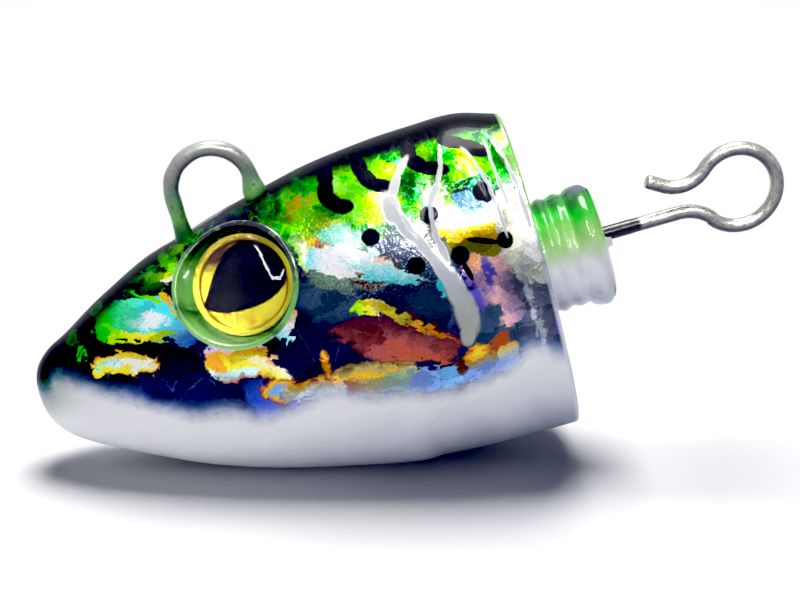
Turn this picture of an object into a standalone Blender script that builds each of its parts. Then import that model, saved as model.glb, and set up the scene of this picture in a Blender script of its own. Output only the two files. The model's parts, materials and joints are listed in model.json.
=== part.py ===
"""Jig head: the weighted head of a soft fishing lure.

A lead casting shaped like a fish head is poured round one bent stainless wire.  The wire stands
out of the back as the line eye and leaves the keeper neck behind as an open hook loop.  A thin
holographic foil lies on each flank, a clear lacquer coat covers the head, and each eye is a stack
of adhesive pad, iris foil, printed pupil and clear dome, glued into a round socket.

Run with:  blender --background --python part.py
World: metres, +Z up, nose towards -X, left flank towards -Y.  The head stands on its belly land,
nose down, so everything hangs from one empty whose own X axis is the axis of the casting.
"""
import math

import bpy
import bmesh
from mathutils import Matrix, Vector

MM = 0.001

# ---- head, millimetres, in the frame of the casting: x = 0 at the rear face, nose at -x ----------
HEAD_LENGTH = 49.3
HEAD_PITCH = 15.0               # degrees, tail up
WIDEST_LEVEL = 0.46             # height of the widest line, as a share of the section's height
BACK_ROUNDNESS = 2.0            # superellipse exponent above the widest line
BELLY_ROUNDNESS = 2.2           # and below it
# share of sqrt(distance from nose / length), back height, belly height, half width
STATIONS = (
    (0.000, 1.2, 1.2, 0.0),
    (0.100, 3.4, -1.6, 1.9),
    (0.200, 5.0, -3.6, 3.4),
    (0.300, 6.3, -5.2, 4.9),
    (0.425, 8.9, -7.6, 6.6),
    (0.535, 11.3, -10.2, 8.0),
    (0.640, 13.0, -12.4, 9.2),
    (0.740, 14.85, -14.2, 10.1),
    (0.830, 16.05, -15.5, 10.6),
    (0.915, 16.5, -16.1, 10.6),
    (0.960, 16.45, -16.2, 10.45),
    (1.000, 15.3, -16.2, 10.2),
)
# rear edge of the gill cover: height, distance from the rear face
GILL_EDGE = ((-9.0, -15.0), (-4.0, -9.5), (0.0, -7.0), (4.0, -8.3),
             (8.0, -10.6), (12.0, -11.6), (17.0, -9.5))
GILL_RISE = 0.35                # the cover stands this far proud of the flank
GILL_FADE = 9.0                 # length over which the rise begins
GILL_STEP = 1.6                 # length over which it ends
RINGS = 24
SEGMENTS = 40
LAND_CUT = 0.45                 # depth of the flat belly land below the round of the belly
LAND_MIDDLE = 21.2              # the world's origin lies this far ahead of the rear face's middle

# ---- layers, measured inward from the outside of the lacquer -------------------------------------
COAT_THICK = 0.35
FOIL_THICK = 0.10
LAYER_GAP = 0.05
FOIL_MIDDLE = COAT_THICK + LAYER_GAP + FOIL_THICK / 2
CASTING_INSET = COAT_THICK + FOIL_THICK + 2 * LAYER_GAP
FOIL_RINGS = (5, RINGS)         # the foil runs from this ring to the rear edge
FOIL_SEGMENTS = (1, 12)         # and from beside the back down to the edge of the belly

# ---- keeper neck: distance behind the rear face, radius ------------------------------------------
NECK_AXIS_Z = 0.5
NECK_ROOT = -3.0
NECK_PROFILE = ((0.0, 5.35), (0.7, 5.15), (1.5, 5.45), (2.2, 5.2), (3.0, 5.42), (3.8, 5.25),
                (4.4, 5.6), (5.2, 5.75), (5.9, 5.6), (6.4, 4.9))
NECK_TURNS = 28

# ---- wire ----------------------------------------------------------------------------------------
WIRE_RADIUS = 0.675
WIRE_CLEARANCE = 0.05
SHANK_Z = 1.1
EYE_ARCH = (-27.7, 16.3, 3.75)          # centre x, centre z, radius of the line eye's bend
SHANK_BEND = 4.0
FOOT_Z = 8.0                            # where the front leg starts to bend into its anchor foot
FOOT_BEND = 2.0
FOOT_END = -27.2
LOOP = (20.4, 2.0, 3.85)                # hook loop
DIP = (14.3, -3.1, 4.2)                 # bend that lowers the shank into the loop
LIP = (15.24, 6.95, 3.3)                # bend that opens the loop's free end
LIP_RUN = 1.7
ARC_STEP = 15.0                         # degrees between points on a bend

# ---- eyes ----------------------------------------------------------------------------------------
SOCKET_CENTRE = (-27.9, -6.8, 8.9)      # on the left flank's skin
SOCKET_AXIS = (-0.15, -0.87, 0.47)      # outward
SOCKET_RADIUS = 5.7
SOCKET_DEPTH = 2.9
SOCKET_REACH = 4.0
EYE_SHIFT = 0.45                        # the eye sits this far behind the socket's middle
EYE_RADIUS = 4.75
PAD_RADIUS = 4.4
PAD_THICK = 0.45
IRIS_THICK = 0.15
PUPIL_THICK = 0.06
DOME_EDGE = 0.35
DOME_HEIGHT = 1.65
EYE_GAP = 0.05
EYE_TURNS = 32
# pupil outline: towards the tail, up
PUPIL = ((-4.1, -1.4), (-1.8, -2.2), (1.4, -2.0), (3.6, -0.7),
         (4.0, 1.2), (2.9, 3.0), (0.4, 3.8), (-1.8, 2.5))

# ---- finishes: colour, roughness, metallic -------------------------------------------------------
FINISHES = {
    "painted_lead": ((0.36, 0.50, 0.34), 0.35, 0.0),
    "stainless_wire": ((0.56, 0.54, 0.50), 0.28, 1.0),
    "holographic_foil": ((0.20, 0.55, 0.16), 0.18, 1.0),
    "clear_lacquer": ((0.74, 0.84, 0.72), 0.05, 0.0),
    "foam_pad": ((0.85, 0.85, 0.82), 0.80, 0.0),
    "gold_foil": ((0.90, 0.66, 0.12), 0.20, 1.0),
    "black_ink": ((0.01, 0.01, 0.015), 0.40, 0.0),
    "clear_resin": ((0.95, 0.95, 0.92), 0.03, 0.0),
}


# ---- scene and helpers ---------------------------------------------------------------------------
def clear_scene():
    """Empty the scene without closing the file."""
    for old in list(bpy.data.objects):
        bpy.data.objects.remove(old, do_unlink=True)


def collection(name):
    """A collection of this name, linked to the scene."""
    made = bpy.data.collections.new(name)
    bpy.context.scene.collection.children.link(made)
    return made


def finish(name):
    """The Principled material of this finish, made once."""
    material = bpy.data.materials.get(name)
    if material is None:
        colour, roughness, metallic = FINISHES[name]
        material = bpy.data.materials.new(name)
        material.use_nodes = True
        shader = material.node_tree.nodes["Principled BSDF"]
        shader.inputs["Base Color"].default_value = (*colour, 1.0)
        shader.inputs["Roughness"].default_value = roughness
        shader.inputs["Metallic"].default_value = metallic
        material.diffuse_color = (*colour, 1.0)
    return material


def add(name, data, where, frame, material=None):
    """Put data into the scene as an object that hangs from the frame."""
    obj = bpy.data.objects.new(name, data)
    where.objects.link(obj)
    obj.parent = frame
    if material:
        data.materials.append(finish(material))
    return obj


def smooth(obj):
    """Shade an object's faces smooth."""
    for face in obj.data.polygons:
        face.use_smooth = True


def as_cutter(obj):
    """Hide an object that only shapes others."""
    obj.hide_render = True
    obj.display_type = "WIRE"


def boolean(obj, operation, other):
    """Add an exact Boolean modifier."""
    modifier = obj.modifiers.new(f"{operation.lower()}_{other.name}", "BOOLEAN")
    modifier.operation = operation
    modifier.solver = "EXACT"
    modifier.object = other


def turned(name, profile, turns, where, frame, material=None):
    """A solid of revolution about local Z from (radius, height) points, both ends on the axis."""
    mesh = bpy.data.meshes.new(name)
    points = [(radius * MM, 0.0, height * MM) for radius, height in profile]
    mesh.from_pydata(points, [(i, i + 1) for i in range(len(points) - 1)], [])
    obj = add(name, mesh, where, frame, material)
    screw = obj.modifiers.new("turn", "SCREW")
    screw.axis = "Z"
    screw.angle = math.tau
    screw.steps = turns
    screw.render_steps = turns
    screw.use_merge_vertices = True
    screw.merge_threshold = 1e-6
    screw.use_smooth_shade = True
    return obj


# ---- the fish head's skin ------------------------------------------------------------------------
def read_curve(rows, at):
    """Values of a table at a place, on smooth curves through its rows."""
    last = len(rows) - 2
    i = next((k for k in range(last) if at < rows[k + 1][0]), last)
    step = rows[i + 1][0] - rows[i][0]
    share = (at - rows[i][0]) / step

    def slope(k, column):
        a, b = max(k - 1, 0), min(k + 1, len(rows) - 1)
        return (rows[b][column] - rows[a][column]) / (rows[b][0] - rows[a][0])

    values = []
    for column in range(1, len(rows[0])):
        y0, y1 = rows[i][column], rows[i + 1][column]
        m0, m1 = slope(i, column) * step, slope(i + 1, column) * step
        s2, s3 = share ** 2, share ** 3
        values.append((2 * s3 - 3 * s2 + 1) * y0 + (s3 - 2 * s2 + share) * m0
                      + (3 * s2 - 2 * s3) * y1 + (s3 - s2) * m1)
    return values


def round_point(t, angle):
    """A point of the plain head.  t is 0 at the nose and 1 at the rear face; angle is 0 on the
    back, 90 degrees on the left flank and 180 on the belly."""
    back, belly, half_width = read_curve(STATIONS, t)
    middle = belly + WIDEST_LEVEL * (back - belly)
    up, side = math.cos(angle), math.sin(angle)
    power = BACK_ROUNDNESS if up > 0 else BELLY_ROUNDNESS
    reach = (abs(up) ** power + abs(side) ** power) ** (-1 / power)
    tall = back - middle if up > 0 else middle - belly
    return Vector((HEAD_LENGTH * (t * t - 1), -half_width * reach * side, middle + tall * reach * up))


def outward(t, angle):
    """Unit normal of the plain head."""
    step = 1e-3
    t = min(max(t, 0.02), 1 - step)
    along = round_point(t + step, angle) - round_point(t - step, angle)
    around = round_point(t, angle + step) - round_point(t, angle - step)
    return around.cross(along).normalized()


def gill_rise(point):
    """How far the gill cover stands proud at a point of the flank."""
    edge = read_curve(GILL_EDGE, min(max(point.z, GILL_EDGE[0][0]), GILL_EDGE[-1][0]))[0]
    ahead = edge - point.x
    if ahead < 0:
        share = 1 + ahead / GILL_STEP
    else:
        share = 1 - ahead / GILL_FADE
    share = min(max(share, 0.0), 1.0)
    return GILL_RISE * share * share * (3 - 2 * share) * min(abs(point.y) / 4.0, 1.0)


def skin_point(t, angle, inset):
    """A point of the finished skin, moved inward by the inset."""
    point = round_point(t, angle)
    moved = point + outward(t, angle) * (gill_rise(point) - inset)
    if t >= 1:
        moved.x = 0.0
    return moved


def skin_ring(bm, number, inset, segments=range(SEGMENTS)):
    """One ring of the skin's points as vertices."""
    t = number / RINGS
    angles = [math.tau * k / SEGMENTS for k in segments]
    return [bm.verts.new(skin_point(t, angle, inset) * MM) for angle in angles]


def skin_patch(bm, near, far, upper, lower):
    """Two triangles of skin between two rings.  Both flanks and all layers are split the same way,
    from the upper corner of the front ring, so that the layers stay parallel."""
    bm.faces.new((near[upper], far[upper], far[lower]))
    bm.faces.new((near[upper], far[lower], near[lower]))


def head_loft(name, inset, where, frame, material=None, overrun=0.0):
    """The whole head as a closed loft, inset from the outside; overrun lengthens it behind."""
    bm = bmesh.new()
    nose = bm.verts.new(Vector((-HEAD_LENGTH + inset, 0.0, STATIONS[0][1])) * MM)
    rings = [skin_ring(bm, number, inset) for number in range(1, RINGS + 1)]
    if overrun:
        rings.append([bm.verts.new(v.co + Vector((overrun * MM, 0.0, 0.0))) for v in rings[-1]])
    for k in range(SEGMENTS):
        after = (k + 1) % SEGMENTS
        upper, lower = (k, after) if k < SEGMENTS // 2 else (after, k)
        bm.faces.new((nose, rings[0][upper], rings[0][lower]))
        for near, far in zip(rings, rings[1:]):
            skin_patch(bm, near, far, upper, lower)
    bm.faces.new(rings[-1])
    bmesh.ops.recalc_face_normals(bm, faces=bm.faces)
    mesh = bpy.data.meshes.new(name)
    bm.to_mesh(mesh)
    bm.free()
    obj = add(name, mesh, where, frame, material)
    smooth(obj)
    return obj


def land_block(name, height, where):
    """A block under the world plane z = height, to cut the belly land of one layer."""
    size = 200.0 * MM
    bm = bmesh.new()
    bmesh.ops.create_cube(bm, size=size)
    mesh = bpy.data.meshes.new(name)
    bm.to_mesh(mesh)
    bm.free()
    block = bpy.data.objects.new(name, mesh)
    block.location = (0.0, 0.0, height * MM - size / 2)
    where.objects.link(block)
    as_cutter(block)
    return block


# ---- wire ----------------------------------------------------------------------------------------
def arc(circle, start, end):
    """Points on a circle (x, z, radius) from one angle to another, in degrees."""
    x, z, radius = circle
    count = max(2, round(abs(end - start) / ARC_STEP))
    angles = [math.radians(start + (end - start) * i / count) for i in range(count + 1)]
    return [(x + radius * math.cos(a), z + radius * math.sin(a)) for a in angles]


def bearing(origin, target):
    """Direction from one circle's centre to another's, in degrees."""
    return math.degrees(math.atan2(target[1] - origin[1], target[0] - origin[0]))


def wire_path():
    """The wire from the loop's cut end, through the head, to the anchor foot."""
    lip_end = -122.0
    lip = arc(LIP, lip_end, bearing(LIP, LOOP))
    heading = math.radians(lip_end - 90.0)
    start = (lip[0][0] + LIP_RUN * math.cos(heading), lip[0][1] + LIP_RUN * math.sin(heading))
    loop = arc(LOOP, bearing(LOOP, LIP), bearing(LOOP, DIP))
    dip = arc(DIP, bearing(DIP, LOOP), 90.0)
    arch_x, arch_z, arch_radius = EYE_ARCH
    rear_leg = arch_x + arch_radius
    shank_bend = arc((rear_leg + SHANK_BEND, SHANK_Z + SHANK_BEND, SHANK_BEND), 270.0, 180.0)
    arch = arc(EYE_ARCH, 0.0, 180.0)
    foot = arc((arch_x - arch_radius + FOOT_BEND, FOOT_Z, FOOT_BEND), 180.0, 270.0)
    return [start, *lip, *loop[1:], *dip[1:], *shank_bend, *arch, *foot, (FOOT_END, FOOT_Z - FOOT_BEND)]


def tube(name, path, radius, where, frame, material=None):
    """A round wire along a path of (x, z) points."""
    curve = bpy.data.curves.new(name, "CURVE")
    curve.dimensions = "3D"
    curve.bevel_depth = radius * MM
    curve.bevel_resolution = 2
    curve.use_fill_caps = True
    spline = curve.splines.new("POLY")
    spline.points.add(len(path) - 1)
    for knot, (x, z) in zip(spline.points, path):
        knot.co = (x * MM, 0.0, z * MM, 1.0)
    return add(name, curve, where, frame, material)


def solid_from(curve_obj, name, where, frame):
    """A mesh solid of a curve's tube, for use as a cutter."""
    shape = curve_obj.evaluated_get(bpy.context.evaluated_depsgraph_get())
    mesh = bpy.data.meshes.new_from_object(shape)
    bm = bmesh.new()
    bm.from_mesh(mesh)
    bmesh.ops.remove_doubles(bm, verts=bm.verts, dist=1e-7)
    bmesh.ops.recalc_face_normals(bm, faces=bm.faces)
    bm.to_mesh(mesh)
    bm.free()
    bpy.data.objects.remove(curve_obj, do_unlink=True)
    obj = add(name, mesh, where, frame)
    as_cutter(obj)
    return obj


# ---- eyes ----------------------------------------------------------------------------------------
def eye_matrix(side, height, shift=0.0):
    """Frame of an eye: X towards the tail on the left (the nose on the right), Y up, Z outward.
    side is -1 on the left flank and 1 on the right; height is measured from the socket's floor."""
    x, y, z = SOCKET_CENTRE
    out = Vector((SOCKET_AXIS[0], -side * SOCKET_AXIS[1], SOCKET_AXIS[2])).normalized()
    up = (Vector((0.0, 0.0, 1.0)) - out * out.z).normalized()
    right = up.cross(out)
    tailward = right if right.x > 0 else -right
    centre = Vector((x, -side * y, z)) + out * (height - SOCKET_DEPTH) + tailward * shift
    matrix = Matrix((right, up, out)).transposed().to_4x4()
    matrix.translation = centre * MM
    return matrix


def cylinder(name, radius, thick, turns, where, frame, material=None):
    """A round disc standing on its local origin."""
    bm = bmesh.new()
    bmesh.ops.create_cone(bm, cap_ends=True, segments=turns, radius1=radius * MM, radius2=radius * MM,
                          depth=thick * MM)
    bmesh.ops.translate(bm, verts=bm.verts, vec=(0.0, 0.0, thick * MM / 2))
    mesh = bpy.data.meshes.new(name)
    bm.to_mesh(mesh)
    bm.free()
    return add(name, mesh, where, frame, material)


def pupil_outline(name, side, where, frame):
    """The teardrop pupil as a filled flat curve with thickness."""
    curve = bpy.data.curves.new(name, "CURVE")
    curve.dimensions = "2D"
    curve.fill_mode = "BOTH"
    curve.extrude = PUPIL_THICK * MM / 2
    curve.resolution_u = 4
    spline = curve.splines.new("BEZIER")
    spline.bezier_points.add(len(PUPIL) - 1)
    for knot, (tailward, up) in zip(spline.bezier_points, PUPIL):
        knot.co = (-side * tailward * MM, up * MM, 0.0)
        knot.handle_left_type = knot.handle_right_type = "AUTO"
    spline.bezier_points[0].handle_left_type = "VECTOR"
    spline.bezier_points[0].handle_right_type = "VECTOR"
    spline.use_cyclic_u = True
    return add(name, curve, where, frame, "black_ink")


def eye(side, label, where, frame):
    """Pad, iris foil, pupil and dome of one eye, from the socket's floor outward."""
    pad = cylinder(f"eye_pad_{label}", PAD_RADIUS, PAD_THICK, EYE_TURNS, where, frame, "foam_pad")
    level = EYE_GAP
    pad.matrix_local = eye_matrix(side, level, EYE_SHIFT)

    iris = cylinder(f"iris_foil_{label}", EYE_RADIUS, IRIS_THICK, EYE_TURNS, where, frame, "gold_foil")
    level += PAD_THICK + EYE_GAP
    iris.matrix_local = eye_matrix(side, level, EYE_SHIFT)

    pupil = pupil_outline(f"pupil_{label}", side, where, frame)
    level += IRIS_THICK + EYE_GAP
    pupil.matrix_local = eye_matrix(side, level + PUPIL_THICK / 2, EYE_SHIFT)

    level += PUPIL_THICK + EYE_GAP
    crown = DOME_HEIGHT - DOME_EDGE
    rows = 5
    arch = [(EYE_RADIUS * math.cos(a), DOME_EDGE + crown * math.sin(a))
            for a in (math.radians(90 * i / rows) for i in range(rows))]
    profile = [(0.0, DOME_HEIGHT), *reversed(arch), (EYE_RADIUS, 0.0), (0.0, 0.0)]
    dome = turned(f"eye_dome_{label}", profile, EYE_TURNS, where, frame, "clear_resin")
    dome.matrix_local = eye_matrix(side, level, EYE_SHIFT)


# ---- parts ---------------------------------------------------------------------------------------
def neck_solid(where, frame):
    """The keeper neck behind the rear face, turned about the casting's axis."""
    behind, radius = NECK_PROFILE[-1]
    outline = [(0.0, behind), (radius, behind)]
    outline += [(r, x) for x, r in reversed(NECK_PROFILE[:-1])]
    outline += [(NECK_PROFILE[0][1], NECK_ROOT), (0.0, NECK_ROOT)]
    neck = turned("neck_shape", outline, NECK_TURNS, where, frame)
    neck.location = (0.0, 0.0, NECK_AXIS_Z * MM)
    neck.rotation_euler = (0.0, math.radians(90.0), 0.0)
    as_cutter(neck)
    return neck


def foil(side, label, where, frame):
    """One flank's foil: the part of the skin between the back and the belly, made into a sheet."""
    first, last = FOIL_SEGMENTS
    segments = range(first, last + 1)
    if side > 0:
        segments = [SEGMENTS - k for k in segments]
    bm = bmesh.new()
    front, rear = FOIL_RINGS
    rings = [skin_ring(bm, number, FOIL_MIDDLE, segments) for number in range(front, rear + 1)]
    for near, far in zip(rings, rings[1:]):
        for k in range(len(near) - 1):
            skin_patch(bm, near, far, k, k + 1)
    if side > 0:
        bmesh.ops.reverse_faces(bm, faces=bm.faces)
    mesh = bpy.data.meshes.new(f"foil_{label}")
    bm.to_mesh(mesh)
    bm.free()
    obj = add(f"foil_{label}", mesh, where, frame, "holographic_foil")
    smooth(obj)
    sheet = obj.modifiers.new("thickness", "SOLIDIFY")
    sheet.thickness = FOIL_THICK * MM
    sheet.offset = 0.0
    return obj


def lowest_point():
    """Height of the round belly's lowest point below the frame's origin, with the head pitched."""
    pitch = math.radians(HEAD_PITCH)
    points = [round_point(i / 200, math.pi) for i in range(1, 201)]
    return min(p.x * math.sin(pitch) + p.z * math.cos(pitch) for p in points)


def build():
    clear_scene()
    parts = collection("jig_head")
    tools = collection("cutters")

    frame = bpy.data.objects.new("casting_frame", None)
    parts.objects.link(frame)
    frame.rotation_euler = (0.0, -math.radians(HEAD_PITCH), 0.0)
    frame.location = (LAND_MIDDLE * MM, 0.0, -(lowest_point() + LAND_CUT) * MM)

    tube("through_wire", wire_path(), WIRE_RADIUS, parts, frame, "stainless_wire")
    wide = tube("channel_curve", wire_path(), WIRE_RADIUS + WIRE_CLEARANCE, tools, frame)
    bpy.context.view_layer.update()
    channel = solid_from(wide, "wire_channel", tools, frame)

    sockets = []
    for side, label in ((-1, "left"), (1, "right")):
        depth = SOCKET_DEPTH + SOCKET_REACH
        socket = cylinder(f"socket_{label}", SOCKET_RADIUS, depth, EYE_TURNS, tools, frame)
        socket.matrix_local = eye_matrix(side, 0.0)
        as_cutter(socket)
        sockets.append(socket)

    casting = head_loft("head_casting", CASTING_INSET, parts, frame, "painted_lead")
    boolean(casting, "DIFFERENCE", land_block("casting_land", CASTING_INSET, tools))
    boolean(casting, "UNION", neck_solid(tools, frame))
    for socket in sockets:
        boolean(casting, "DIFFERENCE", socket)
    boolean(casting, "DIFFERENCE", channel)

    hollow = head_loft("coat_hollow", COAT_THICK, tools, frame, overrun=2.0)
    boolean(hollow, "DIFFERENCE", land_block("hollow_land", COAT_THICK, tools))
    as_cutter(hollow)
    coat = head_loft("clear_coat", 0.0, parts, frame, "clear_lacquer")
    boolean(coat, "DIFFERENCE", land_block("coat_land", 0.0, tools))
    boolean(coat, "DIFFERENCE", hollow)
    for socket in sockets:
        boolean(coat, "DIFFERENCE", socket)
    boolean(coat, "DIFFERENCE", channel)

    for (side, label), socket in zip(((-1, "left"), (1, "right")), sockets):
        boolean(foil(side, label, parts, frame), "DIFFERENCE", socket)
        eye(side, label, parts, frame)


build()
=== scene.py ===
"""How the jig head looks: foil, paint and lacquer over the casting, eyes, keeper neck and wire.

Shapes are made in millimetres in the frame of the casting (x = 0 at the rear face, nose at -x, left
flank at -y), as the CAD source does, and each object is then placed as a whole.  Paint is laid out on
the flank by two coordinates: x along the casting, and v, the height that is seen from the side and a
little above.
"""

import json
import math

import bmesh
import bpy
import numpy as np
from mathutils import Matrix, Vector
from mathutils.bvhtree import BVHTree

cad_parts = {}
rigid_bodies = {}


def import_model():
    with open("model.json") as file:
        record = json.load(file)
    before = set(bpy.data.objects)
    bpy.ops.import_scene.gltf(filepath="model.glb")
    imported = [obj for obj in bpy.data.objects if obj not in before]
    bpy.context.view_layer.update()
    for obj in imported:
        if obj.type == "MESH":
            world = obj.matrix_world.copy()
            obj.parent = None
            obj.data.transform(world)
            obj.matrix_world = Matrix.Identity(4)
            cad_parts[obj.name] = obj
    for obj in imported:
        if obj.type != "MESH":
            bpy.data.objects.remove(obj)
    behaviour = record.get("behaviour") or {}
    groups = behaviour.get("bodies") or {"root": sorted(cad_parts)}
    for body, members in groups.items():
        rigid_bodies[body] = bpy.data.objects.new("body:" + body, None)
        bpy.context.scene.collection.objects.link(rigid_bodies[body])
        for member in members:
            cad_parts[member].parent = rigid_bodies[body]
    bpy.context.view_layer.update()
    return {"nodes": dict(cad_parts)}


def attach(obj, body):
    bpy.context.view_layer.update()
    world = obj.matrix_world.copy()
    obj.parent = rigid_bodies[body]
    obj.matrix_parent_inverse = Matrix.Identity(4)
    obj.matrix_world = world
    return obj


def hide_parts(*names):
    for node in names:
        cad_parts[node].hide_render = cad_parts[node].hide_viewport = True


MM = 0.001
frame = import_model()

# ---- the head, as in the CAD source --------------------------------------------------------------
HEAD_LENGTH = 49.3
HEAD_PITCH = math.radians(15.0)
LAND_MIDDLE = 21.2
LAND_CUT = 0.45
WIDEST_LEVEL = 0.46
BACK_ROUNDNESS = 2.0
BELLY_ROUNDNESS = 2.2
STATIONS = (
    (0.000, 1.2, 1.2, 0.0),
    (0.100, 3.4, -1.6, 1.9),
    (0.200, 5.0, -3.6, 3.4),
    (0.300, 6.3, -5.2, 4.9),
    (0.425, 8.9, -7.6, 6.6),
    (0.535, 11.3, -10.2, 8.0),
    (0.640, 13.0, -12.4, 9.2),
    (0.740, 14.85, -14.2, 10.1),
    (0.830, 16.05, -15.5, 10.6),
    (0.915, 16.5, -16.1, 10.6),
    (0.960, 16.45, -16.2, 10.45),
    (1.000, 15.3, -16.2, 10.2),
)
GILL_EDGE = ((-9.0, -15.0), (-4.0, -9.5), (0.0, -7.0), (4.0, -8.3),
             (8.0, -10.6), (12.0, -11.6), (17.0, -9.5))
GILL_RISE = 0.35
GILL_FADE = 9.0
GILL_STEP = 1.6
SKIN_THICK = 0.35
LAND_BLEND = 0.25
SIDE_UP, SIDE_OUT = 0.9285, 0.3714      # shares of z and of the half width in v

NECK_AXIS_Z = 0.5
NECK_PROFILE = ((0.0, 5.35), (0.7, 5.15), (1.5, 5.45), (2.2, 5.2), (3.0, 5.42), (3.8, 5.25),
                (4.4, 5.6), (5.2, 5.75), (5.9, 5.6), (6.4, 4.9))

WIRE_RADIUS = 0.675
SHANK_Z = 1.1
EYE_ARCH = (-27.7, 16.3, 3.75)
SHANK_BEND = 4.0
FOOT_Z = 8.0
FOOT_BEND = 2.0
FOOT_END = -27.2
LOOP = (20.4, 2.0, 3.85)
DIP = (14.3, -3.1, 4.2)
LIP = (15.24, 6.95, 3.3)
LIP_END = -122.0
LIP_RUN = 1.7

SOCKET_CENTRE = (-27.9, -6.8, 8.9)
SOCKET_AXIS = (-0.15, -0.87, 0.47)
SOCKET_RADIUS = 5.7
SOCKET_DEPTH = 2.9
EYE_SHIFT = 0.45
EYE_RADIUS = 4.75
PUPIL = ((-4.1, -1.4), (-1.8, -2.2), (1.4, -2.0), (3.6, -0.7),
         (4.0, 1.2), (2.9, 3.0), (0.4, 3.8), (-1.8, 2.5))
IRIS_LEVEL = 0.55               # heights above the socket's floor
PUPIL_LEVEL = 0.78
DOME_LEVEL = 0.86
DOME_EDGE = 0.35
DOME_HEIGHT = 1.65


# ---- shape helpers -------------------------------------------------------------------------------
def curve(rows, at):
    """Smooth curves through a table's rows, at an array of places."""
    rows, at = np.array(rows, float), np.asarray(at, float)
    last = len(rows) - 1
    count = np.arange(len(rows))
    before, after = np.maximum(count - 1, 0), np.minimum(count + 1, last)
    slopes = (rows[after, 1:] - rows[before, 1:]) / (rows[after, :1] - rows[before, :1])
    i = np.clip(np.searchsorted(rows[:, 0], at, side="right") - 1, 0, last - 1)
    step = (rows[i + 1, 0] - rows[i, 0])[..., None]
    s = (at - rows[i, 0])[..., None] / step
    return ((2 * s ** 3 - 3 * s ** 2 + 1) * rows[i, 1:] + (s ** 3 - 2 * s ** 2 + s) * slopes[i] * step
            + (3 * s ** 2 - 2 * s ** 3) * rows[i + 1, 1:] + (s ** 3 - s ** 2) * slopes[i + 1] * step)


def round_point(t, angle):
    """Points of the plain head: t is 0 at the nose and 1 at the rear face, angle 0 on the back."""
    back, belly, half_width = np.moveaxis(curve(STATIONS, t), -1, 0)
    middle = belly + WIDEST_LEVEL * (back - belly)
    up, side = np.cos(angle), np.sin(angle)
    power = np.where(up > 0, BACK_ROUNDNESS, BELLY_ROUNDNESS)
    reach = (abs(up) ** power + abs(side) ** power) ** (-1 / power)
    tall = np.where(up > 0, back - middle, middle - belly)
    return np.stack([HEAD_LENGTH * (t * t - 1), -half_width * reach * side, middle + tall * reach * up], -1)


def outward(t, angle):
    """Unit normals of the plain head."""
    step = 1e-3
    t = np.clip(t, 0.02, 1 - step)
    along = round_point(t + step, angle) - round_point(t - step, angle)
    around = round_point(t, angle + step) - round_point(t, angle - step)
    normal = np.cross(around, along)
    return normal / np.linalg.norm(normal, axis=-1, keepdims=True)


def bell(value, width):
    """A smooth bump of height 1 about 0."""
    return np.exp(-(value / width) ** 2)


def ease(value):
    """0 below 0, 1 above 1, smooth between."""
    value = np.clip(value, 0, 1)
    return value * value * (3 - 2 * value)


# raised folds of lacquer behind the gill cover: rows of v and x, then height and half width
FOLDS = (
    (((-5.0, -9.0), (-2.0, -7.4), (2.0, -8.6), (6.0, -8.8), (9.0, -7.6), (13.0, -6.0)), 0.16, 0.42),
    (((-3.0, -1.6), (2.0, -2.8), (6.0, -3.0), (9.0, -3.6), (12.5, -4.8)), 0.12, 0.40),
    (((-2.0, -0.5), (4.0, -1.4), (8.0, -2.0), (13.0, -2.3)), 0.10, 0.32),
)


def side_height(point):
    """v of points: the height seen from the side and a little above."""
    return SIDE_UP * point[..., 2] - SIDE_OUT * abs(point[..., 1])


def relief(point):
    """How far the skin stands proud of the plain head."""
    height = np.clip(point[..., 2], GILL_EDGE[0][0], GILL_EDGE[-1][0])
    ahead = curve(GILL_EDGE, height)[..., 0] - point[..., 0]
    share = ease(np.where(ahead < 0, 1 + ahead / GILL_STEP, 1 - ahead / GILL_FADE))
    rise = GILL_RISE * share * ease((abs(point[..., 1]) - 2.5) / 4.0)
    v = side_height(point)
    for rows, tall, width in FOLDS:
        low, high = rows[0][0], rows[-1][0]
        off = point[..., 0] - curve(rows, np.clip(v, low, high))[..., 0]
        ends = ease((v - low) / 2.5) * ease((high - v) / 2.0)
        rise = rise + tall * ends * bell(off, width)
    wave = 0.05 * np.sin(0.55 * point[..., 0] + 0.9 * v) + 0.04 * np.sin(0.9 * point[..., 0] - 0.6 * v + 2)
    rise = rise + wave * ease((v + 7) / 4)
    return rise * ease(abs(point[..., 1]) / 5.0)


def skin_point(t, angle, inset):
    """Points of the finished skin, moved inward by the inset."""
    point = round_point(t, angle)
    moved = point + outward(t, angle) * (relief(point) - inset)[..., None]
    moved[..., 0] = np.where(t >= 1, 0.0, moved[..., 0])
    return moved


def lowest_point():
    """Height of the round belly's lowest point below the frame's origin, with the head pitched."""
    points = round_point(np.linspace(0.005, 1, 200), np.full(200, math.pi))
    return min(points[:, 0] * math.sin(HEAD_PITCH) + points[:, 2] * math.cos(HEAD_PITCH))


HEAD_LIFT = -(lowest_point() + LAND_CUT)
HEAD = Matrix.Translation((LAND_MIDDLE * MM, 0.0, HEAD_LIFT * MM)) @ Matrix.Rotation(-HEAD_PITCH, 4, "Y")


def rest_on_land(points, height):
    """Press points that would lie below the belly land up to it, with a soft edge."""
    sine, cosine = math.sin(HEAD_PITCH), math.cos(HEAD_PITCH)
    lack = height - (points[..., 0] * sine + points[..., 2] * cosine + HEAD_LIFT)
    lift = (lack + np.sqrt(lack * lack + LAND_BLEND ** 2)) / 2
    points[..., 0] += lift * sine
    points[..., 2] += lift * cosine
    return points


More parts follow.
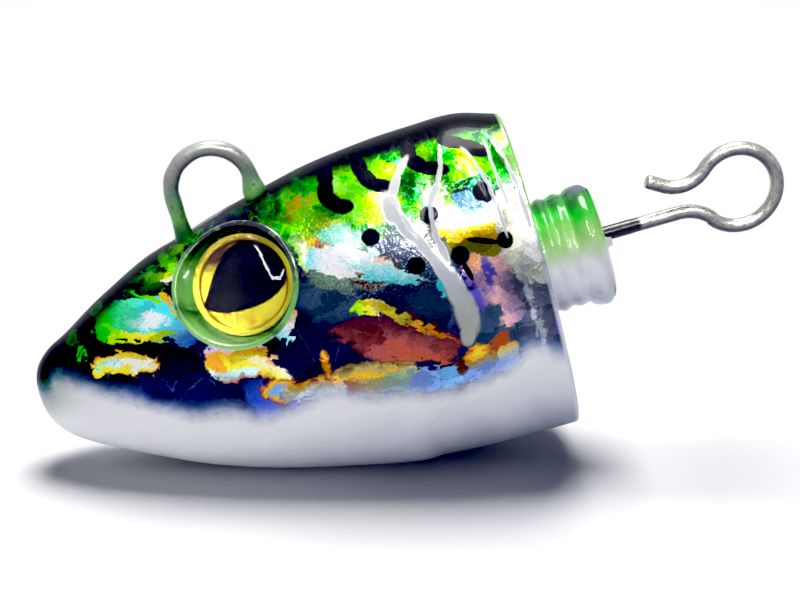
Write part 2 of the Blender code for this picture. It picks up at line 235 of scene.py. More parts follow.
def piece(name, points, faces, matrix, material, smooth_angle=40.0, replaced=()):
    """A mesh piece from points in millimetres, in place and riding on the one body."""
    mesh = bpy.data.meshes.new(name)
    mesh.from_pydata([tuple(p) for p in np.asarray(points, float) * MM], [], faces)
    mesh.validate()
    bm = bmesh.new()
    bm.from_mesh(mesh)
    bmesh.ops.recalc_face_normals(bm, faces=bm.faces)
    bm.to_mesh(mesh)
    bm.free()
    obj = bpy.data.objects.new(name, mesh)
    bpy.context.scene.collection.objects.link(obj)
    obj.matrix_world = matrix
    mesh.materials.append(material)
    shade(obj, smooth_angle)
    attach(obj, "root")
    if replaced:
        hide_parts(*replaced)
    return obj


def shade(obj, angle):
    """Smooth shading with sharp edges above the angle, in degrees."""
    obj.data.polygons.foreach_set("use_smooth", [True] * len(obj.data.polygons))
    obj.data.set_sharp_from_angle(angle=math.radians(angle))


def grid_faces(rows, columns, offset=0):
    """Quads of a grid that closes on itself along its columns."""
    return [(offset + i * columns + j, offset + i * columns + (j + 1) % columns,
             offset + (i + 1) * columns + (j + 1) % columns, offset + (i + 1) * columns + j)
            for i in range(rows - 1) for j in range(columns)]


def turned(rows, count, rough=None):
    """Points and faces of a solid turned about Z from (radius, height) rows; both ends on the axis."""
    angles = np.arange(count) * math.tau / count
    inner = np.array(rows[1:-1], float)
    radius = np.repeat(inner[:, :1], count, 1)
    height = np.repeat(inner[:, 1:], count, 1)
    if rough:
        radius, height = rough(radius, height, angles[None, :])
    ring = np.stack([radius * np.cos(angles), radius * np.sin(angles), height], -1).reshape(-1, 3)
    points = [*ring, (0.0, 0.0, rows[0][1]), (0.0, 0.0, rows[-1][1])]
    faces = grid_faces(len(inner), count)
    first, last, end = len(ring), len(ring) + 1, (len(inner) - 1) * count
    faces += [(first, (j + 1) % count, j) for j in range(count)]
    faces += [(last, end + j, end + (j + 1) % count) for j in range(count)]
    return points, faces


def eye_matrix(side, shift=0.0):
    """Frame of a socket, on its floor: X towards the tail on the left (the nose on the right), Z out."""
    x, y, z = SOCKET_CENTRE
    out = Vector((SOCKET_AXIS[0], -side * SOCKET_AXIS[1], SOCKET_AXIS[2])).normalized()
    up = (Vector((0.0, 0.0, 1.0)) - out * out.z).normalized()
    right = up.cross(out)
    tailward = right if right.x > 0 else -right
    centre = Vector((x, -side * y, z)) - out * SOCKET_DEPTH + tailward * shift
    matrix = Matrix((right, up, out)).transposed().to_4x4()
    matrix.translation = centre * MM
    return HEAD @ matrix


# ---- paint: node writing -------------------------------------------------------------------------
LACQUER_IOR = 1.5
# sRGB colours
PALETTE = {
    "black": (5, 5, 10), "ink": (7, 6, 20), "night": (26, 32, 58), "navy": (40, 46, 92),
    "dusk": (54, 52, 80), "slate": (62, 78, 100), "steel": (110, 112, 130), "fog": (170, 176, 192),
    "iron": (134, 130, 126), "chrome": (184, 180, 174), "stone": (196, 202, 190), "pearl": (226, 229, 238),
    "white": (252, 253, 255), "cream": (250, 244, 214), "sage": (138, 168, 142), "forest": (6, 34, 26),
    "moss": (10, 52, 20), "leaf": (14, 112, 18), "green": (30, 200, 24), "apple": (136, 214, 104),
    "lime": (140, 232, 16), "pale": (190, 236, 150), "mint": (90, 232, 170), "cyan": (90, 226, 236),
    "ice": (205, 250, 250), "sky": (110, 178, 228), "blue": (62, 88, 190), "azure": (120, 150, 214),
    "violet": (96, 88, 176), "lilac": (204, 196, 236), "mauve": (150, 126, 160), "blush": (214, 170, 170),
    "plum": (70, 42, 58), "maroon": (130, 74, 72), "crimson": (164, 88, 84), "rust": (176, 92, 56),
    "brown": (92, 60, 44), "olive": (120, 116, 50), "khaki": (176, 164, 96), "gold": (226, 178, 40),
    "yellow": (250, 232, 70), "amber": (240, 168, 60),
}


def colour(name):
    """Linear colour of a palette name."""
    shares = [level / 255 for level in PALETTE[name]]
    return (*(((c + 0.055) / 1.055) ** 2.4 if c > 0.04 else c / 12.92 for c in shares), 1.0)


class Paint:
    """Writes one material's nodes; each call returns the socket that holds its result."""

    def __init__(self, name, scale=1000.0):
        self.material = bpy.data.materials.new(name)
        self.material.use_nodes = True
        self.tree = self.material.node_tree
        self.shader = self.tree.nodes["Principled BSDF"]
        place = self.tree.nodes.new("ShaderNodeTexCoord").outputs["Object"]
        self.place = self.vector("SCALE", place, scale=scale)
        self.x, self.y, self.z = self.split(self.place)

    def put(self, kind, *values, out=0, **settings):
        node = self.tree.nodes.new("ShaderNode" + kind)
        for key, value in settings.items():
            setattr(node, key, value)
        for socket, value in zip(node.inputs, values):
            if isinstance(value, bpy.types.NodeSocket):
                self.tree.links.new(value, socket)
            elif value is not None:
                socket.default_value = value
        return node.outputs[out]

    def math(self, operation, *values):
        return self.put("Math", *values, operation=operation)

    def vector(self, operation, *values, scale=None):
        dot = 1 if operation in ("DOT_PRODUCT", "LENGTH") else 0
        values = [*values, *([None] * (3 - len(values))), scale]
        return self.put("VectorMath", *values, out=dot, operation=operation)

    def split(self, vector):
        node = self.put("SeparateXYZ", vector).node
        return node.outputs[0], node.outputs[1], node.outputs[2]

    def join(self, x, y, z):
        return self.put("CombineXYZ", x, y, z)

    def step(self, value, low, high, start=0.0, end=1.0, kind="SMOOTHSTEP"):
        return self.put("MapRange", value, low, high, start, end, interpolation_type=kind,
                        clamp=kind == "LINEAR")

    def noise(self, where, size, detail=2.0, rough=0.5, out=0):
        """Noise with features of about this many millimetres."""
        return self.put("TexNoise", where, None, 1.0 / size, detail, rough, out=out)

    def mix(self, share, first, second, blend="MIX"):
        first, second = (colour(c) if isinstance(c, str) else c for c in (first, second))
        return self.put("MixRGB", share, first, second, blend_type=blend)

    def ramp(self, share, names, places=None):
        """Colours by name, spread evenly or at given places."""
        names = names.split()
        places = places or [i / (len(names) - 1) for i in range(len(names))]
        out = self.put("ValToRGB", share)
        stops = out.node.color_ramp
        while len(stops.elements) < len(names):
            stops.elements.new(0.5)
        for stop, at, name in zip(stops.elements, places, names):
            stop.position = at
            stop.color = colour(name)
        return out

    def line(self, value, rows):
        """A number read from a smooth curve through (place, number) rows."""
        (low, _), (high, _) = rows[0], rows[-1]
        numbers = [n for _, n in rows]
        floor, span = min(numbers), max(numbers) - min(numbers)
        out = self.put("FloatCurve", 1.0, self.step(value, low, high, kind="LINEAR"))
        points = out.node.mapping.curves[0].points
        while len(points) < len(rows):
            points.new(0.5, 0.5)
        for point, (at, number) in zip(points, rows):
            point.location = ((at - low) / (high - low), (number - floor) / span)
        out.node.mapping.update()
        return self.math("MULTIPLY_ADD", out, span, floor)

    def shape(self, where, x, v, length, height, tilt, form="oval"):
        """Local coordinates of a patch, -1 to 1 across it, and its measure, which is 1 on its edge.
        The third coordinate of where is 1, so that one dot product turns, scales and moves."""
        turn = math.radians(tilt)
        rows = ((math.cos(turn) / length, math.sin(turn) / length),
                (-math.sin(turn) / height, math.cos(turn) / height))
        along, across = (self.vector("DOT_PRODUCT", where, (a, b, -a * x - b * v)) for a, b in rows)
        if form == "kite":
            first, second = self.math("ABSOLUTE", along), self.math("ABSOLUTE", across)
            return along, across, self.math("ADD", first, second)
        first, second = self.math("MULTIPLY", along, along), self.math("MULTIPLY", across, across)
        if form == "box":
            first, second = self.math("MULTIPLY", first, first), self.math("MULTIPLY", second, second)
        return along, across, self.math("ADD", first, second)

    def cover(self, where, row, soft):
        """1 inside a patch, 0 outside, with an edge of this softness."""
        return self.step(self.shape(where, *row)[2], 1 + soft, 1 - soft)

    def patch(self, under, where, x, v, length, height, tilt, form, soft, axis, names):
        """Lay a patch of colour over what is under it.  axis is x, y or r: how its colours follow."""
        along, across, measure = self.shape(where, x, v, length, height, tilt, form)
        if " " in names:
            share = measure
            if axis != "r":
                share = self.math("MULTIPLY_ADD", along if axis == "x" else across, 0.5, 0.5)
            names = self.ramp(share, names)
        return self.mix(self.step(measure, 1 + soft, 1 - soft), under, names)

    def bump(self, height, strength, distance):
        """A normal from a height of 0 to 1, which stands for this many metres."""
        node = self.tree.nodes.new("ShaderNodeBump")
        node.inputs["Strength"].default_value = strength
        node.inputs["Distance"].default_value = distance
        self.tree.links.new(height, node.inputs["Height"])
        return node.outputs[0]

    def set(self, **values):
        """Constants and links on the shader's own sockets."""
        for key, value in values.items():
            socket = self.shader.inputs[key.replace("_", " ")]
            if isinstance(value, bpy.types.NodeSocket):
                self.tree.links.new(value, socket)
            else:
                socket.default_value = value
        return self.material


# ---- paint: the flank ----------------------------------------------------------------------------
# Each patch of foil or paint: x, v, half length, half height, tilt in degrees, form, softness of the
# edge, the axis its colours follow, and the colours.
FOIL_FIELDS = (
    (-43.0, 3.5, 8.0, 4.5, -20, "oval", 0.5, "y", "forest night"),
    (-34.5, 8.5, 4.5, 3.2, 20, "oval", 0.5, "y", "forest moss"),
    (-35.0, -1.5, 4.5, 3.0, -25, "oval", 0.4, "y", "navy night"),
    (-38.5, -2.4, 3.6, 0.9, -32, "oval", 0.7, "", "navy"),
    (-23.5, -1.5, 5.0, 4.2, 0, "oval", 0.4, "y", "dusk night"),
    (-20.0, 2.0, 3.2, 2.2, -20, "oval", 0.5, "", "slate"),
    (-12.5, 0.2, 4.6, 3.0, -25, "oval", 0.35, "x", "night slate slate"),
    (-14.0, 1.4, 2.2, 0.7, -18, "oval", 0.6, "", "navy"),
    (-3.0, -4.0, 3.2, 5.5, 0, "box", 0.4, "x", "steel slate steel slate"),
    (-13.4, 5.8, 3.6, 2.6, -20, "oval", 0.5, "y", "slate steel sage"),
    (-9.5, 5.0, 1.6, 3.5, 15, "oval", 0.5, "y", "slate iron moss"),
)
FLANK_PATCHES = (
    # cheek
    (-37.6, 5.1, 4.4, 2.0, -14, "box", 0.10, "x", "green green mint cyan cyan sky"),
    (-34.3, 3.7, 2.7, 1.2, -56, "box", 0.12, "x", "cyan cyan sky blue"),
    (-36.6, 4.7, 2.2, 0.7, -14, "oval", 0.3, "x", "mint ice white cyan"),
    (-37.6, 3.5, 3.4, 0.5, -12, "oval", 0.3, "x", "lime yellow lime"),
    (-40.3, 4.9, 1.5, 0.3, -50, "oval", 0.4, "x", "green lime"),
    (-34.0, 5.8, 2.2, 0.3, -60, "oval", 0.3, "x", "lime amber lime"),
    (-39.8, 1.35, 3.3, 1.05, -17, "box", 0.10, "r", "yellow yellow yellow amber brown"),
    (-41.0, 1.75, 1.7, 0.5, -16, "oval", 0.35, "x", "mint ice cream"),
    (-38.4, 0.9, 1.5, 0.6, -20, "oval", 0.5, "", "cream"),
    (-43.7, 3.35, 0.32, 0.6, -10, "oval", 0.2, "", "green"),
    (-47.4, 1.8, 1.6, 0.7, 10, "oval", 0.6, "", "leaf"),
    (-47.7, 1.55, 0.7, 0.25, 0, "oval", 0.4, "x", "green rust lime"),
    # marbling ahead of the eye
    (-35.0, 8.3, 2.3, 1.5, 10, "oval", 0.5, "r", "leaf moss forest"),
    (-34.8, 8.3, 1.6, 0.55, -8, "oval", 0.4, "x", "leaf lime yellow"),
    (-33.7, 7.6, 0.8, 0.35, 0, "oval", 0.3, "", "cream"),
    (-33.4, 9.5, 0.6, 1.2, 15, "oval", 0.4, "y", "lime green"),
    (-36.4, 7.0, 1.9, 0.3, -32, "oval", 0.3, "x", "green lime"),
    (-36.5, 9.0, 1.6, 0.22, 12, "oval", 0.3, "", "green"),
    (-31.5, 10.9, 2.0, 0.35, 28, "oval", 0.4, "x", "leaf lime green"),
    # under the eye
    (-29.6, -1.0, 2.7, 2.0, -8, "box", 0.10, "y", "rust ice yellow yellow amber lilac lilac"),
    (-31.5, -0.8, 0.8, 1.2, 0, "oval", 0.5, "", "amber"),
    (-27.0, -2.5, 2.5, 1.1, -38, "kite", 0.12, "y", "rust yellow cream amber"),
    (-28.9, -2.4, 1.4, 0.4, -10, "oval", 0.5, "", "ice"),
    (-24.2, 0.7, 1.7, 0.7, 55, "box", 0.15, "x", "cyan white amber"),
    (-28.6, -5.2, 1.0, 2.0, 12, "box", 0.4, "y", "violet blue navy"),
    (-26.4, -4.9, 1.8, 1.3, -5, "oval", 0.25, "r", "sky azure khaki gold rust brown"),
    (-25.3, -6.9, 1.4, 0.6, -30, "oval", 0.5, "", "violet"),
    (-23.0, -5.4, 3.4, 0.9, -6, "box", 0.35, "y", "fog stone khaki gold rust"),
    (-21.9, -3.8, 0.4, 1.6, 0, "oval", 0.5, "x", "brown amber brown"),
    # behind the eye
    (-20.6, 7.2, 1.1, 2.6, 10, "box", 0.15, "x", "lime cream yellow lime"),
    (-19.3, 7.2, 0.9, 0.8, -30, "oval", 0.5, "r", "rust amber yellow"),
    (-18.0, 8.5, 2.2, 0.8, -10, "oval", 0.3, "x", "lime yellow cream"),
    (-16.9, 7.2, 2.6, 1.1, -20, "oval", 0.4, "x", "mint ice sage"),
    (-17.3, 3.2, 3.8, 1.4, -14, "oval", 0.5, "y", "slate sage leaf"),
    (-16.0, 2.5, 1.6, 0.5, -18, "oval", 0.5, "", "brown"),
    (-17.7, 5.0, 3.2, 1.35, -18, "box", 0.20, "x", "cyan white white white ice"),
    (-14.6, 3.2, 4.0, 1.2, -30, "kite", 0.12, "y", "cyan cyan ice white amber"),
    (-13.6, 2.6, 2.2, 0.7, -32, "box", 0.2, "y", "cyan ice"),
    # peak, crimson and the bands above the belly
    (-15.0, -2.9, 6.2, 2.9, -20, "kite", 0.10, "y", "rust crimson maroon plum plum"),
    (-12.9, -4.2, 3.1, 1.4, -30, "box", 0.25, "y", "rust crimson maroon plum"),
    (-12.3, -3.0, 3.0, 0.3, -38, "oval", 0.4, "x", "olive amber rust"),
    (-16.7, 0.4, 1.6, 0.85, -8, "oval", 0.2, "x", "lime yellow cream"),
    (-14.9, -0.6, 2.1, 0.45, -45, "oval", 0.4, "x", "yellow olive"),
    (-17.6, -5.5, 3.8, 0.9, -10, "box", 0.25, "y", "khaki gold khaki brown"),
    (-18.6, -6.6, 2.3, 0.8, -4, "box", 0.4, "x", "rust khaki khaki"),
    (-15.6, -7.0, 3.0, 0.9, -8, "box", 0.5, "x", "khaki sage fog"),
    (-11.8, -7.8, 3.0, 1.1, -6, "box", 0.3, "x", "azure azure sky azure"),
    (-20.0, -7.5, 1.8, 0.35, -20, "oval", 0.7, "", "azure"),
    (-7.2, -7.5, 3.0, 1.15, 2, "box", 0.35, "y", "azure azure khaki rust"),
    (-8.4, -6.4, 1.4, 0.75, 12, "oval", 0.3, "r", "yellow amber rust"),
    (-5.7, -6.1, 1.1, 0.6, 15, "oval", 0.5, "", "rust"),
    (-9.8, -7.2, 0.5, 0.9, -10, "oval", 0.5, "", "brown"),
    # behind the gill cover
    (-5.2, -1.0, 2.0, 3.6, 4, "box", 0.25, "x", "violet mauve blush mauve steel"),
    (-4.9, 1.3, 2.1, 1.0, -6, "oval", 0.5, "x", "amber blush blush"),
    (-5.3, 0.4, 0.4, 1.7, 0, "oval", 0.7, "", "violet"),
    (-6.8, -1.6, 0.4, 1.8, 5, "oval", 0.6, "", "violet"),
    (-6.6, -4.2, 1.3, 2.0, -30, "oval", 0.4, "", "slate"),
    (-5.8, 3.3, 2.7, 1.1, -14, "box", 0.2, "y", "olive olive gold"),
    (-5.9, 5.8, 2.9, 2.0, -8, "box", 0.15, "y", "gold yellow white sky azure sky"),
    (-7.8, 7.3, 1.3, 2.4, 20, "oval", 0.4, "x", "sky cream lime"),
    (-1.6, 3.3, 1.9, 3.8, 0, "box", 0.3, "x", "stone cream white stone"),
    (-1.5, -0.4, 1.7, 0.9, -40, "box", 0.4, "", "stone"),
    (-2.2, -4.0, 0.4, 4.2, 0, "oval", 0.8, "", "fog"),
    (-0.5, -6.2, 0.35, 0.9, 0, "oval", 0.4, "", "violet"),
    (-9.7, 0.3, 0.9, 0.35, 90, "oval", 0.4, "", "cyan"),
)
GREEN_PATCHES = (
    (-20.3, 10.9, 1.8, 0.9, 25, "oval", 0.5, "x", "leaf amber lime"),
    (-19.5, 9.6, 1.8, 1.2, -35, "oval", 0.5, "x", "lime leaf"),
    (-16.3, 11.2, 2.0, 1.4, -30, "oval", 0.6, "x", "pale lime green"),
    (-14.6, 9.2, 3.0, 1.4, -25, "oval", 0.7, "x", "green lime yellow"),
    (-12.1, 12.1, 1.7, 0.9, -20, "box", 0.3, "x", "green lime lime"),
    (-13.1, 9.7, 1.0, 0.45, -40, "oval", 0.5, "", "yellow"),
    (-8.0, 12.2, 1.4, 0.8, -25, "oval", 0.4, "x", "green lime green"),
    (-5.9, 12.0, 1.7, 1.1, 20, "oval", 0.5, "x", "leaf green lime"),
    (-4.3, 10.5, 1.5, 0.8, -50, "oval", 0.4, "x", "lime yellow lime"),
    (-6.7, 9.4, 2.8, 1.0, 10, "oval", 0.6, "x", "pale leaf lime"),
    (-9.6, 9.9, 1.4, 1.4, 0, "oval", 0.6, "", "leaf"),
    (-5.2, 8.0, 2.2, 1.15, 6, "box", 0.15, "r", "moss moss leaf moss leaf ice"),
    (-2.2, 12.6, 1.3, 0.8, -10, "oval", 0.5, "", "moss"),
    (-1.3, 9.3, 1.1, 2.8, 10, "oval", 0.6, "x", "green leaf pale"),
)
# black worm strokes of the back: x, v, half length, half width, tilt
STROKES = (
    (-17.2, 13.2, 1.6, 0.8, 82), (-17.6, 11.6, 1.3, 0.8, 75), (-17.3, 10.5, 1.2, 0.8, -50),
    (-16.5, 9.8, 1.1, 0.72, -15),
    (-14.0, 13.0, 1.2, 0.75, 90), (-13.6, 11.6, 1.3, 0.75, -60), (-12.5, 10.6, 1.4, 0.66, -28),
    (-9.3, 13.0, 1.2, 0.75, 85), (-8.9, 11.8, 1.3, 0.75, -50), (-7.6, 10.9, 1.6, 0.68, -22),
    (-5.2, 12.8, 1.4, 0.62, -22), (-3.5, 11.7, 1.5, 0.7, -40),
)
# painted highlights: pale streaks along the gill cover's edge and the folds behind it
HIGHLIGHT_STREAKS = (
    (-10.2, 11.9, 1.1, 0.32, 48), (-11.4, 10.3, 1.4, 0.42, 58), (-12.3, 8.4, 1.5, 0.80, 85),
    (-11.6, 6.6, 2.1, 0.62, -72), (-10.4, 4.2, 2.2, 0.50, -68), (-9.4, 1.8, 2.2, 0.60, -72),
    (-8.6, -0.4, 2.2, 0.90, -82), (-8.2, -2.6, 2.2, 1.05, -90), (-8.5, -4.4, 1.2, 0.70, 72),
    (-6.7, 11.7, 1.2, 0.20, 75), (-7.2, 10.2, 1.4, 0.24, 65), (-8.2, 8.6, 1.3, 0.42, 50),
    (-8.9, 7.0, 1.5, 0.22, 80), (-9.0, 5.2, 1.5, 0.30, 90), (-8.8, 3.4, 1.3, 0.34, -80),
    (-4.1, 11.2, 1.1, 0.15, -65), (-3.5, 9.2, 1.5, 0.18, -75), (-3.1, 7.0, 1.5, 0.20, -85),
    (-2.9, 4.8, 1.8, 0.18, -88), (-2.3, 10.3, 1.8, 0.15, -88), (-2.1, 7.3, 1.8, 0.20, -85),
    (-1.3, 10.8, 1.3, 0.14, -70), (-0.8, 8.2, 1.8, 0.20, -82), (-0.6, 5.0, 2.2, 0.25, -88),
)
SPOTS = ((-14.75, 6.35, 0.82, 0.82, 0), (-9.1, 6.9, 0.86, 0.84, 0), (-11.5, 2.75, 0.84, 0.80, 0),
         (-7.4, 2.6, 0.84, 0.86, 0), (-4.0, 7.6, 0.82, 0.88, 0), (-3.1, 2.85, 0.75, 0.80, 0))
SPOT_TAILS = ((-5.0, 3.3, 1.6, 0.28, -20), (-7.1, 1.0, 1.0, 0.25, -75), (-3.4, 7.0, 0.7, 0.4, 20))
# borders of the paint, as rows of x and v
BELLY_LINE = ((-49.5, 1.2), (-48.0, 0.7), (-46.8, 1.6), (-45.0, 0.9), (-42.5, -0.6), (-40.0, -1.9),
              (-37.0, -3.8), (-34.0, -5.1), (-31.5, -5.4), (-28.5, -6.7), (-25.0, -6.6), (-22.0, -6.2),
              (-20.0, -7.2), (-15.5, -8.2), (-12.0, -9.0), (-7.5, -8.9), (-4.5, -8.1), (-3.0, -7.3),
              (-1.5, -8.2), (0.2, -9.0))
BACK_LINE = ((-49.5, 1.8), (-46.5, 3.0), (-43.0, 5.2), (-40.0, 6.9), (-36.0, 9.3), (-33.0, 10.9),
             (-29.0, 12.0), (-24.0, 12.4), (-18.0, 13.2), (-12.0, 13.4), (-5.0, 13.3), (0.2, 12.9))
GREEN_LINE = ((-49.5, 6.0), (-35.0, 9.5), (-31.0, 9.8), (-24.0, 9.0), (-21.5, 8.0), (-18.0, 8.8),
              (-15.0, 6.8), (-12.5, 7.6), (-10.0, 7.8), (-7.0, 8.2), (-3.5, 8.4), (0.2, 7.0))


def painted_foil():
    """Foil under translucent paint under gloss lacquer: the skin of the head."""
    p = Paint("lacquered_foil")
    aside = p.math("ABSOLUTE", p.y)
    right = p.step(p.y, -0.5, 0.5)
    v = p.math("SUBTRACT", p.math("MULTIPLY", p.z, SIDE_UP), p.math("MULTIPLY", aside, SIDE_OUT))
    plain = p.join(p.x, v, p.math("MULTIPLY", right, 31.0))
    wide = p.vector("SUBTRACT", p.noise(plain, 3.2, 2.0, 0.55, out=1), (0.5, 0.5, 0.5))
    fine = p.vector("SUBTRACT", p.noise(plain, 0.9, 3.0, 0.65, out=1), (0.5, 0.5, 0.5))
    drift = p.math("MULTIPLY_ADD", right, 5.0, 0.7)
    warped = p.vector("ADD", plain, p.vector("ADD", p.vector("SCALE", wide, scale=drift),
                                            p.vector("SCALE", fine, scale=0.75)))
    shards = p.put("TexVoronoi", p.vector("MULTIPLY", warped, (1.0, 1.5, 1.0)), None, 0.95, out=1)
    ragged = p.vector("SUBTRACT", shards, (0.5, 0.5, 0.5))
    torn = p.vector("ADD", warped, p.vector("SCALE", ragged, scale=0.65))
    torn = p.vector("MULTIPLY_ADD", torn, (1.0, 1.0, 0.0), (0.0, 0.0, 1.0))
    calm = p.vector("ADD", plain, p.vector("SCALE", fine, scale=0.3))
    calm = p.vector("MULTIPLY_ADD", calm, (1.0, 1.0, 0.0), (0.0, 0.0, 1.0))
    wx, wv, _ = p.split(warped)

    # bare foil: dark, with soft fields of hue
    crumple = p.noise(warped, 2.4, 4.0, 0.6)
    foil = p.ramp(crumple, "night night dusk navy slate steel", [0.0, 0.42, 0.52, 0.6, 0.68, 0.8])
    for row in FOIL_FIELDS + FLANK_PATCHES:
        foil = p.patch(foil, torn, *row)

    # translucent green over the foil of the upper flank
    weave = p.noise(warped, 3.0, 3.0, 0.58)
    green = p.ramp(weave, "moss leaf green lime green green leaf moss",
                   [0.28, 0.38, 0.45, 0.51, 0.54, 0.60, 0.66, 0.73])
    for row in GREEN_PATCHES:
        green = p.patch(green, torn, *row)
    above = p.math("SUBTRACT", wv, p.line(wx, GREEN_LINE))
    over_green = p.step(above, -1.3, 1.0)
    behind = p.step(wx, -25.0, -21.5)
    grown = p.mix(p.math("MULTIPLY", over_green, behind), foil, green)

    # fine bright creases and glitter where the foil is green or mottled
    vein = p.math("ABSOLUTE", p.math("SUBTRACT", p.noise(warped, 2.2, 1.5, 0.5), 0.5))
    upper = p.step(above, -2.0, -0.5)
    veins = p.math("MULTIPLY", p.step(vein, 0.022, 0.0), p.math("MULTIPLY", upper, 0.45))
    grown = p.mix(veins, grown, p.ramp(crumple, "green lime mint green", [0.3, 0.45, 0.55, 0.7]))
    grain = p.noise(plain, 0.22, 1.0, 0.5)
    sparse = p.cover(torn, (-15.5, 5.0, 6.5, 3.5, -20), 0.6)
    mottled = p.math("MULTIPLY", p.math("MULTIPLY", p.step(grain, 0.54, 0.68), sparse), 0.4)
    grown = p.mix(mottled, grown, "pearl")
    crack = p.put("TexVoronoi", p.vector("MULTIPLY", warped, (1.0, 0.55, 1.0)), None, 0.34,
                  feature="DISTANCE_TO_EDGE")
    lines = p.math("MULTIPLY", p.step(crack, 0.020, 0.004), p.step(wv, 9.0, 2.0))
    crack_hue = p.ramp(weave, "khaki steel brown sky", [0.3, 0.45, 0.55, 0.7])
    grown = p.mix(p.math("MULTIPLY", lines, 0.22), grown, crack_hue)

    # painted light: each pane of crumpled foil is painted lighter or darker, as if it caught more or less
    # light, and the grain of the foil is painted with glints
    panes = p.put("TexVoronoi", p.vector("MULTIPLY", torn, (0.8, 1.5, 1.0)), None, 0.42, out=1)
    pane_light = p.step(p.split(panes)[0], 0.0, 1.0, 0.62, 1.40, "LINEAR")
    glint = p.math("MULTIPLY", pane_light, p.step(grain, 0.3, 0.7, 0.90, 1.12))
    grown = p.mix(1.0, grown, p.join(glint, glint, glint), "MULTIPLY")

    # opaque dark back
    dark = p.step(p.math("SUBTRACT", wv, p.line(wx, BACK_LINE)), -0.9, 0.5)
    shine = p.ramp(weave, "black black moss leaf moss", [0.2, 0.58, 0.63, 0.66, 0.70])
    painted = p.mix(dark, grown, shine)

    # white belly, sprayed from below, with a blue edge, and painted shade that greys it towards its
    # underside
    below = p.math("SUBTRACT", p.line(wx, BELLY_LINE), wv)
    white = p.step(below, -0.9, 1.3)
    # painted shade: the belly's white turns to grey towards its underside
    level = p.math("MULTIPLY_ADD", p.noise(plain, 6.0, 2.0), 0.25, p.step(v, -16.5, -5.0, kind="LINEAR"))
    belly = p.ramp(level, "steel fog pearl white white", [0.0, 0.25, 0.5, 0.8, 1.0])
    painted = p.mix(p.math("MULTIPLY", p.step(below, -1.8, 0.0), 0.40), painted, "azure")
    painted = p.mix(white, painted, belly)
    nose = p.step(p.x, -44.0, -49.0)
    chin = p.math("MULTIPLY", p.math("MULTIPLY", nose, p.step(v, -3.0, 1.2)), 0.55)
    painted = p.mix(p.math("MULTIPLY", chin, white), painted, "leaf")

    # black strokes and spots
    ink = 0.0
    for row in STROKES + SPOT_TAILS + SPOTS:
        ink = p.math("MAXIMUM", ink, p.cover(calm, row, 0.2))
    painted = p.mix(ink, painted, "ink")
    # painted highlights: pale streaks along the gill edge and folds, whiter higher up the flank
    run = 0.0
    for row in HIGHLIGHT_STREAKS:
        run = p.math("MAXIMUM", run, p.cover(calm, row, 0.45))
    highlight_hue = p.ramp(p.step(v, -4.0, 5.0), "stone pearl white")
    painted = p.mix(p.math("MULTIPLY", run, 0.93), painted, highlight_hue)

    # the rear edge, where the lacquer runs thick and pale
    edge = p.step(p.x, -0.55, -0.2)
    edge_hue = p.ramp(p.step(v, -4.0, 6.0), "pearl fog pale")
    painted = p.mix(p.math("MULTIPLY", edge, 0.7), painted, edge_hue)

    # the painted highlight streaks, the dark back, the white belly and the ink are not metallic
    solid = p.math("MAXIMUM", run, p.math("MULTIPLY", dark, 0.7))
    solid = p.math("MAXIMUM", p.math("MAXIMUM", white, ink), solid)
    metal = p.math("MULTIPLY", p.math("SUBTRACT", 1.0, solid), 0.85)
    rough = p.step(solid, 0.0, 1.0, 0.20, 0.42)
    folds = p.math("ADD", p.math("MULTIPLY", crumple, 0.7), p.math("MULTIPLY", weave, 0.3))
    normal = p.bump(folds, 0.30, 0.0006)
    p.set(Base_Color=painted, Metallic=metal, Roughness=rough, Normal=normal)
    return p.set(Specular_IOR_Level=0.12, Coat_Weight=0.15, Coat_Roughness=0.10, Coat_IOR=LACQUER_IOR)


# ---- paint: the other pieces ---------------------------------------------------------------------
def neck_paint():
    """White paint sprayed green from above, under runny lacquer, on the neck and the rear face; painted
    shade greys it at the bottom, and a painted reflection darkens it along the top.
    """
    p = Paint("neck_paint")
    level = p.math("ADD", p.z, p.math("MULTIPLY", p.noise(p.place, 2.5, 3.0), 2.4))
    tone = p.step(level, -2.5, 7.4, kind="LINEAR")
    # painted shade low down (fog) and a painted reflection along the top (steel) frame the white and green
    # paint
    paint = p.ramp(tone, "fog pearl white pale apple green leaf steel",
                   [0.0, 0.18, 0.44, 0.62, 0.74, 0.84, 0.93, 1.0])
    flecks = p.step(p.noise(p.place, 0.7, 2.0), 0.74, 0.78)
    paint = p.mix(p.math("MULTIPLY", flecks, 0.5), paint, "steel")
    normal = p.bump(p.noise(p.place, 2.0, 1.0), 0.03, 0.0004)
    p.set(Base_Color=paint, Roughness=0.4, Specular_IOR_Level=0.3, Normal=normal)
    return p.set(Coat_Weight=0.5, Coat_Roughness=0.04, Coat_IOR=LACQUER_IOR)


def casting_paint():
    """The same white for the cast body, which the CAD node carries in world coordinates."""
    p = Paint("painted_lead")
    paint = p.ramp(p.noise(p.place, 3.0, 3.0), "pearl white pearl", [0.3, 0.5, 0.7])
    pits = p.step(p.noise(p.place, 0.8, 2.0), 0.72, 0.78)
    paint = p.mix(p.math("MULTIPLY", pits, 0.4), paint, "fog")
    normal = p.bump(p.noise(p.place, 0.9, 4.0), 0.2, 0.0003)
    p.set(Base_Color=paint, Roughness=0.35, Normal=normal)
    return p.set(Coat_Weight=0.6, Coat_Roughness=0.05)


